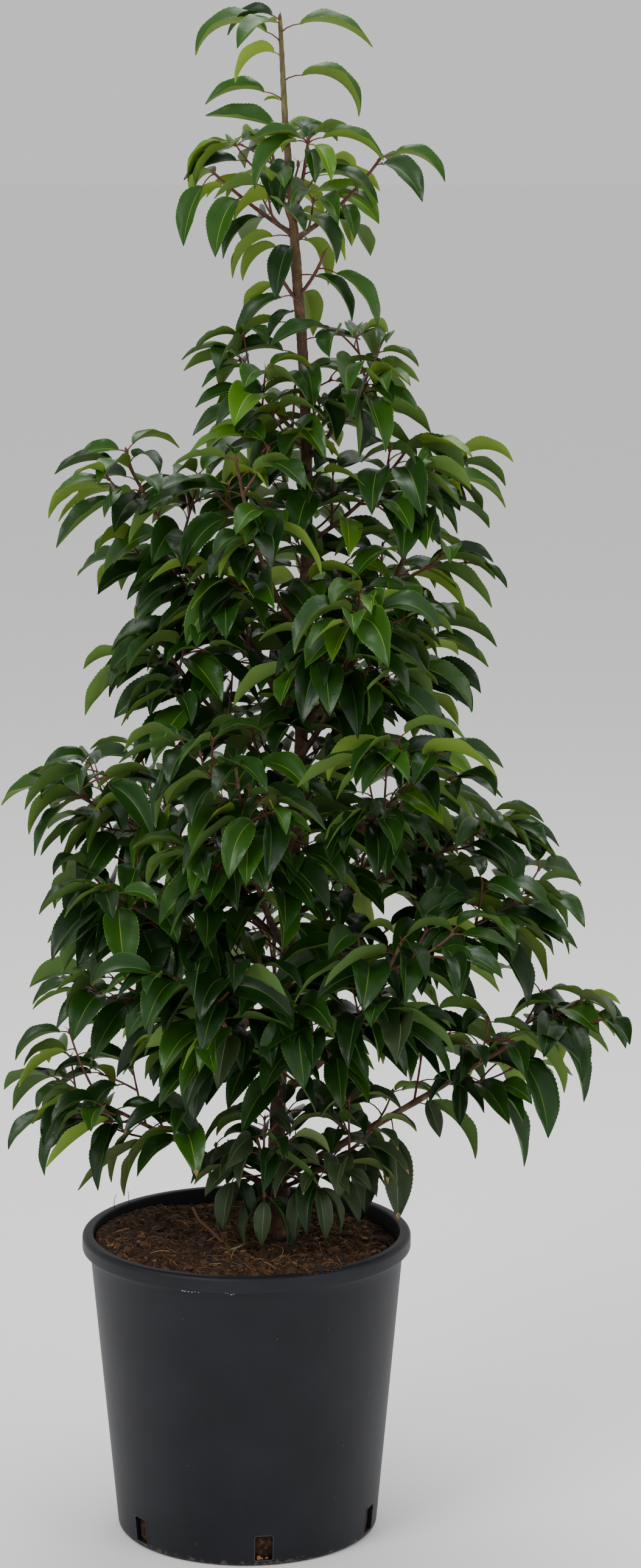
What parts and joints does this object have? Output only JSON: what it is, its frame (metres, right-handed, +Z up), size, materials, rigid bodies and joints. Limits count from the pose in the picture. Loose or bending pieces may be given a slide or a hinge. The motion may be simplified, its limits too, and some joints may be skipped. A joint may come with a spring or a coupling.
{
  "type": "potted portuguese laurel",
  "caption": "Young conical Portuguese laurel with a central leader, tapering boughs and masses of drooping glossy leaves, growing in a plain round nursery pot.",
  "frame": {"origin": "middle of the flat underside of the pot", "axes": "+Z up along the pot's axis, -Y towards the side that the picture shows, +X to its right"},
  "size_m": [0.5383, 0.4483, 1.2781],
  "materials": {
    "nursery_pot_plastic": "matte charcoal moulded plastic with a fine grain",
    "moist_compost": "moist dark fibrous compost",
    "trunk_bark": "dull grey-brown bark",
    "bough_bark": "smooth reddish-brown bark",
    "laurel_leaves": "glossy dark green leaf, paler and matt beneath",
    "young_leaves": "glossy mid-green young leaf, paler and matt beneath"
  },
  "bodies": {
    "root": {"pot": "nursery_pot_plastic", "compost": "moist_compost", "trunk": "trunk_bark", "bough_crown_left": "bough_bark", "bough_crown_right": "bough_bark", "bough_mast_left": "bough_bark", "bough_arm_left": "bough_bark", "bough_arm_right": "bough_bark", "bough_waist_front": "bough_bark", "bough_waist_left": "bough_bark", "bough_waist_right": "bough_bark", "bough_waist_back": "bough_bark", "bough_reach_left": "bough_bark", "bough_side_right": "bough_bark", "bough_belly_front": "bough_bark", "bough_reach_right": "bough_bark", "bough_hip_left": "bough_bark", "bough_hip_right": "bough_bark", "bough_hip_back_left": "bough_bark", "bough_hip_back_right": "bough_bark", "bough_lap_right": "bough_bark", "bough_lap_left": "bough_bark", "bough_back_low": "bough_bark", "bough_low_right": "bough_bark", "bough_low_left": "bough_bark", "foliage_leader": "young_leaves", "foliage_crown_left": "young_leaves", "foliage_crown_right": "young_leaves", "foliage_crown_front": "young_leaves", "foliage_crown_back": "young_leaves", "foliage_collar_left": "young_leaves", "foliage_collar_right": "young_leaves", "foliage_upper_left": "laurel_leaves", "foliage_upper_right": "laurel_leaves", "foliage_shoulder_right": "laurel_leaves", "foliage_shoulder_back": "laurel_leaves", "foliage_mast_left": "laurel_leaves", "foliage_arm_left": "laurel_leaves", "foliage_arm_right": "laurel_leaves", "foliage_waist_front": "laurel_leaves", "foliage_flank_left": "laurel_leaves", "foliage_waist_left": "laurel_leaves", "foliage_waist_right": "laurel_leaves", "foliage_waist_back": "laurel_leaves", "foliage_reach_left": "laurel_leaves", "foliage_side_right": "laurel_leaves", "foliage_belly_front": "laurel_leaves", "foliage_reach_right": "laurel_leaves", "foliage_hip_left": "laurel_leaves", "foliage_hip_right": "laurel_leaves", "foliage_hip_back_left": "laurel_leaves", "foliage_hip_back_right": "laurel_leaves", "foliage_lap_right": "laurel_leaves", "foliage_lap_left": "laurel_leaves", "foliage_flank_low": "laurel_leaves", "foliage_back_low": "laurel_leaves", "foliage_low_right": "laurel_leaves", "foliage_low_left": "laurel_leaves", "foliage_foot_front": "laurel_leaves", "foliage_foot_right": "laurel_leaves"}
  },
  "joints": []
}
